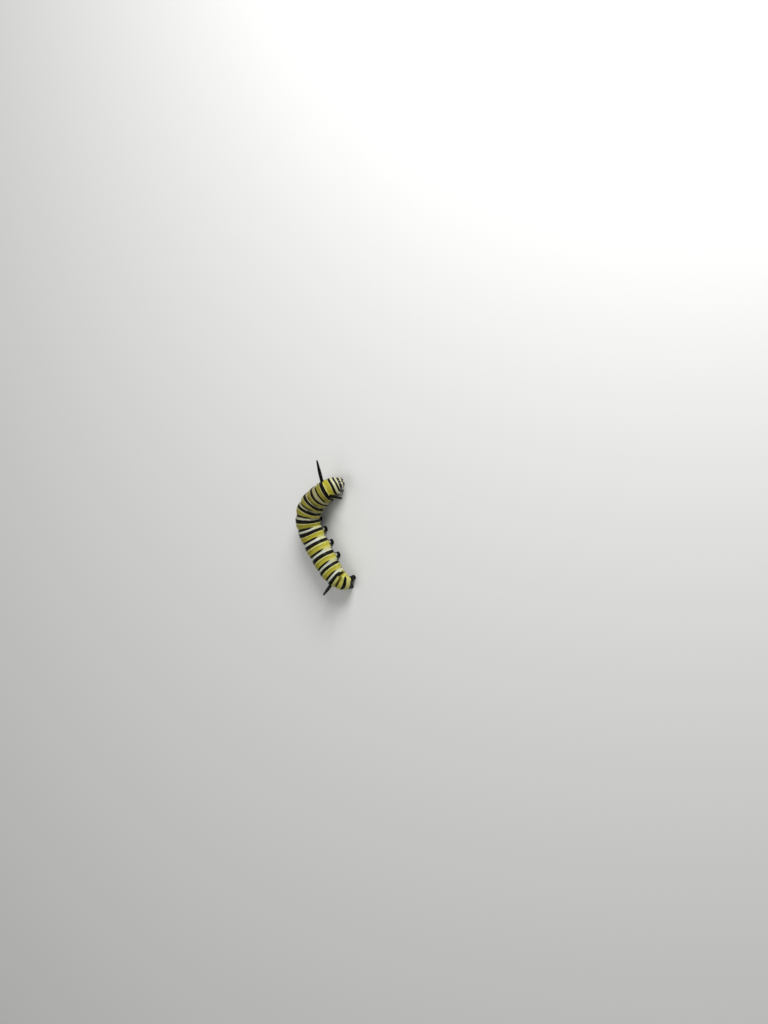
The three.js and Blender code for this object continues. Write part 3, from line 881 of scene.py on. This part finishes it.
# Simple eyes. Six small clear lenses of horn on each cheek, five in an arc and one inside it,
# each set a little sunk in the shell.
EYE_RADIUS = 0.085
EYE_OUT = 1.03  # how far out of the middle of the head, as a share of its size, each lens stands before it is sunk
EYE_SUNK = 0.35
EYE_RING, EYE_FIRST, EYE_ARC, EYE_COUNT = 0.24, -120, 220, 5
CHEEK_SIDE, CHEEK_RISE = 62, -32


def eye_ways(side):
    away = math.degrees(EYE_RING)
    ways = [head_way(side * CHEEK_SIDE, CHEEK_RISE)]
    for i in range(EYE_COUNT):
        turn = math.radians(EYE_FIRST + EYE_ARC * i / (EYE_COUNT - 1))
        turned_side = CHEEK_SIDE + away * math.cos(turn)
        ways.append(head_way(side * turned_side, CHEEK_RISE + away * math.sin(turn)))
    return ways


def eyes_mesh():
    ways, faces = ball(4)
    parts = []
    for side in SIDES:
        for way in eye_ways(side):
            centre = way * HEAD_HALF * (EYE_OUT - EYE_SUNK * EYE_RADIUS)
            parts.append((on_head(centre + ways * EYE_RADIUS) * MM, faces))
    mesh = mesh_of("simple_eyes", parts)
    outward(mesh)
    return mesh


LENS_DARK = (0.02, 0.012, 0.008, 1)
LENS_BROWN = (0.06, 0.035, 0.02, 1)
eye_material, eye_tree, eye_shader = new_material("eye_lens", 0.08, Coat_Weight=1.0, Coat_Roughness=0.03)
eye_tint = mix(eye_tree, ease(eye_tree, grain(eye_tree, 8000), 0.4, 0.7), LENS_DARK, LENS_BROWN)
paint(eye_tree, eye_shader, eye_tint)
eyes = finished("simple_eyes", eyes_mesh(), eye_material)
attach(eyes, "root")


# Antennae. Short feelers of three joints beside the jaws: a pale fleshy collar, a black horn
# barrel and a small peg that ends in a bristle.
ANTENNA_SIDE, ANTENNA_RISE = 34, -44
ANTENNA_ROOT, ANTENNA_LENGTH = -0.2, 0.55
# Share of the length, radius
ANTENNA_PROFILE = [
    (0.0, 0.2), (0.3, 0.19), (0.42, 0.16), (0.47, 0.15), (0.5, 0.12), (0.52, 0.125), (0.6, 0.13),
    (0.74, 0.12), (0.79, 0.085), (0.81, 0.06), (0.88, 0.058), (0.93, 0.045), (0.95, 0.014),
    (1.3, 0.008), (1.45, 0.003),
]


def profile_tube(start, end, profile, around=20, steps=80, flatten=1.0, flat_way=None):
    """A tube from start to end whose radius follows a profile of shares and radii."""
    share = np.linspace(0, profile[-1][0], steps)
    path = start + share[:, None] * (end - start)
    radius = np.interp(share, *zip(*profile))
    return tube(limb_rings(path, radius, around, flatten, flat_way)), np.repeat(share, around)


def joined_tubes(name, tubes):
    """One mesh of several profiled tubes, which keeps the share along each as an attribute."""
    mesh = mesh_of(name, [(points * MM, faces) for (points, faces), _ in tubes])
    outward(mesh)
    set_attribute(mesh, "share", np.concatenate([np.r_[share, 0.0, share[-1]] for _, share in tubes]))
    return mesh


JOINT_PALE = (0.32, 0.30, 0.2, 1)
COLLAR_EDGE = 0.012  # share of the limb over which a collar runs into the horn


def jointed_horn(name, collars, gloss=0.2, dark=HORN_BLACK, pale=JOINT_PALE):
    """Black horn, with paler soft skin at the given shares along the limb."""
    material, tree, shader = new_material(name, gloss, Coat_Weight=0.3, Coat_Roughness=0.12)
    stops = [(0.0, dark)]
    for low, high in collars:
        stops += [(max(low - COLLAR_EDGE, 0.001), dark), (low + COLLAR_EDGE / 2, pale)]
        stops += [(high - COLLAR_EDGE / 2, pale), (high + COLLAR_EDGE, dark)]
    colour = ramp(tree, value_of(tree, "share"), stops + [(1.0, dark)])
    colour = mix(tree, ease(tree, grain(tree, 5000, 3), 0.5, 0.85), colour, HORN_BROWN)
    paint(tree, shader, colour)
    roughen(tree, shader, grain(tree, 16000, 3), 0.3, 0.00001)
    return material


antenna_tubes = []
for side in SIDES:
    way = head_way(side * ANTENNA_SIDE, ANTENNA_RISE)
    root, tip = on_head([way * (HEAD_HALF + ANTENNA_ROOT), way * (HEAD_HALF + ANTENNA_LENGTH)])
    antenna_tubes.append(profile_tube(root, tip, ANTENNA_PROFILE))
antenna_horn = jointed_horn("antenna_horn", [(0.2, 0.46), (0.79, 0.81)])
antennae = finished("antennae", joined_tubes("antennae", antenna_tubes), antenna_horn)
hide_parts("antenna_left", "antenna_right")
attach(antennae, "root")


# Mouth. A notched lip in front, two strong toothed jaws of dark horn behind it, two jointed
# palps, and the spinneret that draws out the silk, all hung from the lower rim of the capsule.
# Share of the length, radius
LIP = [(0, 0.24), (0.5, 0.27), (0.85, 0.22), (1, 0.12)]
JAW = [(0, 0.3), (0.4, 0.31), (0.75, 0.2), (1, 0.06)]
PALP = [
    (0, 0.19), (0.35, 0.2), (0.4, 0.14), (0.62, 0.14), (0.66, 0.09), (0.85, 0.08), (0.9, 0.05), (1, 0.03),
]
SPINNERET = [(0, 0.26), (0.45, 0.22), (0.55, 0.1), (0.9, 0.06), (1, 0.03)]
# Start and end as right, crown and face, profile, flattening, and the sides it is on
MOUTH = [
    ((0.15, -0.66, 0.56), (0.17, -1.2, 0.74), LIP, 0.5, SIDES),
    ((0.46, -0.72, 0.34), (0.1, -1.3, 0.5), JAW, 0.75, SIDES),
    ((0.4, -0.76, 0.04), (0.33, -1.3, 0.18), PALP, 1.0, SIDES),
    ((0, -0.76, 0.0), (0, -1.34, 0.24), SPINNERET, 0.85, (1,)),
]
JAW_BROWN = (0.018, 0.011, 0.007, 1)
LIP_PALE = (0.3, 0.27, 0.15, 1)
mouth_tubes = []
for start, end, profile, flatten, sides in MOUTH:
    for side in sides:
        mirrored = np.array([side, 1, 1])
        start_point, end_point = on_head([np.array(start) * mirrored, np.array(end) * mirrored])
        mouth_tubes.append(profile_tube(start_point, end_point, profile, 28, 40, flatten, HEAD_AXES[2]))
mouth_horn = jointed_horn("mouth_horn", [(0.02, 0.16), (0.37, 0.41)], 0.26, JAW_BROWN, LIP_PALE)
mouth = finished("mouthparts", joined_tubes("mouthparts", mouth_tubes), mouth_horn)
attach(mouth, "root")


# True legs. Three pairs of jointed black horn under the thorax. Each is a wide hip ring, a
# bulging thigh, a shin and a foot in a single hooked claw, with pale soft skin at the joints.
LEG_SPREAD, LEG_TUCK, LEG_STEP, KNEE_DROP = 0.26, 0.22, 0.3, 0.28
LEG_PROFILE = [
    (0.0, 0.36), (0.2, 0.37), (0.29, 0.35), (0.32, 0.27), (0.35, 0.29), (0.46, 0.31), (0.57, 0.26),
    (0.6, 0.2), (0.63, 0.22), (0.72, 0.24), (0.79, 0.2), (0.815, 0.15), (0.84, 0.16), (0.9, 0.14),
    (0.925, 0.09), (0.95, 0.075), (0.975, 0.05), (1.0, 0.015),
]


def leg_tube(along, side):
    _, forward, right, _, _, _ = (row[0] for row in station(along))
    around = side * math.radians(LEG_ROOT)
    hip = body_point(along, around, ROOT_SHARE)[0]
    knee = body_point(along, around)[0] + side * LEG_SPREAD * right + LEG_STEP / 2 * forward
    claw = knee - side * LEG_TUCK * right + LEG_STEP / 2 * forward
    knee[2] *= 1 - KNEE_DROP
    claw[2] = LEG_PROFILE[-1][1]
    share = np.linspace(0, 1, 100)
    path = bezier(hip, knee, claw, share)
    radius = np.interp(share, *zip(*LEG_PROFILE))
    return tube(limb_rings(path, radius, 24)), np.repeat(share, 24)


leg_tubes = [leg_tube(along, side) for along in LEG_PLACES for side in SIDES]
leg_horn = jointed_horn("leg_horn", [(0.305, 0.335), (0.59, 0.615), (0.805, 0.83)], 0.24)
legs = finished("true_legs", joined_tubes("true_legs", leg_tubes), leg_horn)
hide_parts(*[f"leg_t{segment}_{side}" for segment in (1, 2, 3) for side in ("left", "right")])
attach(legs, "root")


# Breathing holes. Nine on each flank, each an upright oval slit with a raised rim of black horn,
# set in the skin.
HOLE_PLACES = [0.62] + [3.52 + i for i in range(8)]
HOLE_ROUND = 90
# Ring by ring from the rim outside to the slit: width, height over the skin
HOLE_RINGS = [(1.0, -0.03), (1.0, 0.016), (0.86, 0.032), (0.66, 0.03), (0.5, 0.014), (0.3, 0.008)]
HOLE_HALF = (0.05, 0.08)


def hole(along, side):
    around = side * math.radians(HOLE_ROUND)
    flat = body_point(along, around)[0]
    middle = body_point(along, around, 1.0, relief(np.array([along]), np.array([around])))[0]
    fore = unit(body_point(along - 0.02, around)[0] - flat)
    down = body_point(along, around + side * 0.02)[0] - flat
    down = unit(down - fore * (down @ fore))
    out = side * np.cross(fore, down)
    out *= np.sign(out @ (middle - station(along)[0][0]))
    turns = np.linspace(0, 2 * math.pi, 20, endpoint=False)
    rings = []
    for width, height in HOLE_RINGS:
        oval = np.outer(np.cos(turns) * HOLE_HALF[0] * width, fore)
        oval += np.outer(np.sin(turns) * HOLE_HALF[1] * width, down)
        rings.append(middle + oval + out * height)
    return tube(np.array(rings))


hole_tubes = [hole(along, side) for along in HOLE_PLACES for side in SIDES]
holes_mesh = mesh_of("breathing_holes", [(points * MM, faces) for points, faces in hole_tubes])
outward(holes_mesh)
set_attribute(holes_mesh, "share", np.zeros(len(holes_mesh.vertices)))
holes = finished("breathing_holes", holes_mesh, jointed_horn("hole_horn", [(0.5, 0.6)], 0.3))
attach(holes, "root")


# Bristles. Short, fine, dark hairs that stand singly all over the skin and head, thickest at
# the root and leaning a little at random.
BRISTLE_SIDES, BRISTLE_RINGS = 5, 3
BRISTLE_LEAN = 0.5  # radians at most to either side
BRISTLE_SIZES = (0.6, 1.25)  # shares of the given length and radius
TUFT_PATCH = 0.003  # how much of the baked picture's width each bristle takes


def bristle_tree(name, length, radius, density, seed, colour):
    """Geometry Nodes that scatter tapered bristles over a surface and leave the surface out."""
    tree = bpy.data.node_groups.new(name, "GeometryNodeTree")

    def socket(label, kind, way="INPUT"):
        return tree.interface.new_socket(label, in_out=way, socket_type=f"NodeSocket{kind}")

    socket("Surface", "Geometry")
    socket("Length", "Float").default_value = length * MM
    socket("Radius", "Float").default_value = radius * MM
    socket("Density", "Float").default_value = density / MM**2
    socket("Seed", "Int").default_value = seed
    socket("Bristles", "Geometry", "OUTPUT")
    given = tree.nodes.new("NodeGroupInput").outputs
    coat = add(tree, "GeometryNodeInputNamedAttribute", "coat", data_type="FLOAT")
    dense = math_node(tree, "MULTIPLY", given["Density"], coat)
    over = {"Mesh": given["Surface"], "Density": dense, "Seed": given["Seed"]}
    scatter = node(tree, "GeometryNodeDistributePointsOnFaces", over)
    form = {"Vertices": BRISTLE_SIDES, "Side Segments": BRISTLE_RINGS, "Radius Top": 0.0}
    form |= {"Radius Bottom": given["Radius"], "Depth": given["Length"]}
    cone = node(tree, "GeometryNodeMeshCone", form)
    lean_by = {0: (-BRISTLE_LEAN, -BRISTLE_LEAN, 0.0), 1: (BRISTLE_LEAN, BRISTLE_LEAN, 6.28)}
    lean = node(tree, "FunctionNodeRandomValue", lean_by, data_type="FLOAT_VECTOR").outputs[0]
    upright = scatter.outputs["Rotation"]
    turn = add(tree, "FunctionNodeRotateRotation", upright, lean, rotation_space="LOCAL")
    size = node(tree, "FunctionNodeRandomValue", dict(zip((2, 3), BRISTLE_SIZES))).outputs[1]
    stand = {"Points": scatter.outputs["Points"], "Instance": cone.outputs["Mesh"]}
    stand |= {"Rotation": turn, "Scale": size}
    set_on = node(tree, "GeometryNodeInstanceOnPoints", stand).outputs[0]
    real = add(tree, "GeometryNodeRealizeInstances", set_on)
    painted = node(tree, "GeometryNodeSetMaterial", {"Geometry": real, "Material": colour}).outputs[0]
    node(tree, "NodeGroupOutput", {0: painted})
    return tree


def skin_unwrap(points):
    """Places on the skin rolled out flat: from neck to tail, and from side to side of the back."""
    along, around, _ = body_coordinates(points)
    return 0.5 + 0.98 * np.column_stack([(along + 1) / (TAIL_TIP + 1) - 0.5, around / (2 * math.pi)])


def head_unwrap(points):
    """Places on the capsule spread flat from the middle of the face."""
    x, y, z = unit((points - HEAD_CENTRE) @ HEAD_AXES.T / HEAD_HALF).T
    out, turn = 0.49 * np.arccos(z) / math.pi, np.arctan2(x, y)
    return 0.5 + np.column_stack([out * np.sin(turn), out * np.cos(turn)])


def add_bake_map(mesh, unwrap):
    """A UV map in which each bristle is a small star, tip in the middle, where its root is."""
    rings, sides = np.divmod(np.arange(BRISTLE_RINGS * BRISTLE_SIDES), BRISTLE_SIDES)
    turns = 2 * math.pi * sides / BRISTLE_SIDES
    star = np.column_stack([np.cos(turns), np.sin(turns)]) * ((rings + 1) / BRISTLE_RINGS)[:, None]
    star = np.vstack([(0, 0), star]) * TUFT_PATCH / 2
    points = numbers_of(mesh.vertices, "co", 3).reshape(-1, len(star), 3) / MM
    roots = points[:, -BRISTLE_SIDES:].mean(1)
    places = (unwrap(roots)[:, None] + star).reshape(-1, 2)
    corners = numbers_of(mesh.loops, "vertex_index", 1, np.int32)
    bake_map = mesh.uv_layers.new(name="OFBake")
    bake_map.uv.foreach_set("vector", places[corners].astype(np.float32).ravel())


def bristles(name, surface, tree, unwrap):
    """The bristles on a surface as a plain mesh of their own."""
    carrier = place_on_scene(name, surface.data.copy())
    modifier = carrier.modifiers.new("bristles", "NODES")
    modifier.node_group = tree
    grown = bpy.data.meshes.new_from_object(carrier.evaluated_get(bpy.context.evaluated_depsgraph_get()))
    carrier.modifiers.remove(modifier)
    carrier.data = grown
    grown.name = name
    add_bake_map(grown, unwrap)
    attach(carrier, "root")
    return carrier


BRISTLE_BLACK = (0.008, 0.006, 0.005, 1)
BRISTLE_BROWN = (0.03, 0.02, 0.012, 1)
# Length and root radius in millimetres, number to a square millimetre, and seed
SKIN_BRISTLES = (0.16, 0.008, 2.6, 4)
HEAD_BRISTLES = (0.24, 0.01, 9.0, 7)
bristle_material, bristle_shade, bristle_shader = new_material("bristle", 0.35)
bristle_tint = mix(bristle_shade, grain(bristle_shade, 4000), BRISTLE_BLACK, BRISTLE_BROWN)
paint(bristle_shade, bristle_shader, bristle_tint)
skin_hair = bristle_tree("skin_bristles", *SKIN_BRISTLES, bristle_material)
head_hair = bristle_tree("head_bristles", *HEAD_BRISTLES, bristle_material)
bristles("skin_bristles", skin, skin_hair, skin_unwrap)
bristles("head_bristles", head, head_hair, head_unwrap)


# Camera, light and floor. Soft light from a wide window overhead, a plain pale floor, and a
# camera that looks down on the larva from its right side, as in the picture.
VIEW_FROM = Vector((-0.559, 0.0, 0.829))
VIEW_UP = Vector((-0.1865, -0.974, -0.1258))
LOOK_AT = Vector((-5.575, -0.2255, -5.2225)) * MM
VIEW_DISTANCE = 223.9 * MM

camera_data = bpy.data.cameras.new("camera")
camera_data.lens = 50
camera_data.sensor_width = 36
camera_data.clip_start = 0.002
camera_data.clip_end = 20
camera = place_on_scene("camera", camera_data)
back = VIEW_FROM.normalized()
right_way = VIEW_UP.cross(back).normalized()
facing = Matrix((right_way, back.cross(right_way), back)).transposed().to_4x4()
camera.matrix_world = Matrix.Translation(LOOK_AT + back * VIEW_DISTANCE) @ facing
bpy.context.scene.camera = camera

# Light: name, place in millimetres, size and power
LAMPS = [
    ("window", (-113, -135, 96), 90, 0.36),
    ("fill", (60, 30, 200), 140, 0.07),
]
for name, place, size, power in LAMPS:
    lamp_data = bpy.data.lights.new(name, "AREA")
    lamp_data.size = size * MM
    lamp_data.energy = power
    lamp = place_on_scene(name, lamp_data)
    lamp.location = Vector(place) * MM
    lamp.rotation_euler = Vector(place).to_track_quat("Z", "Y").to_euler()

world = bpy.data.worlds.new("studio")
world.use_nodes = True
sky = world.node_tree.nodes["Background"].inputs
sky["Color"].default_value = (0.93, 0.94, 0.95, 1)
sky["Strength"].default_value = 0.26
bpy.context.scene.world = world
bpy.context.scene.view_settings.view_transform = "Standard"

FLOOR_PALE = (0.88, 0.88, 0.86, 1)
FLOOR_HALF = 2.0
floor_material, _, floor_shader = new_material("pale_floor", 0.8)
floor_shader.inputs["Base Color"].default_value = FLOOR_PALE
corners = [(x * FLOOR_HALF, y * FLOOR_HALF, 0) for x, y in ((-1, -1), (1, -1), (1, 1), (-1, 1))]
floor_mesh = mesh_of("floor", [(corners, [(0, 1, 2, 3)])])
floor_mesh.materials.append(floor_material)
floor = place_on_scene("floor", floor_mesh)
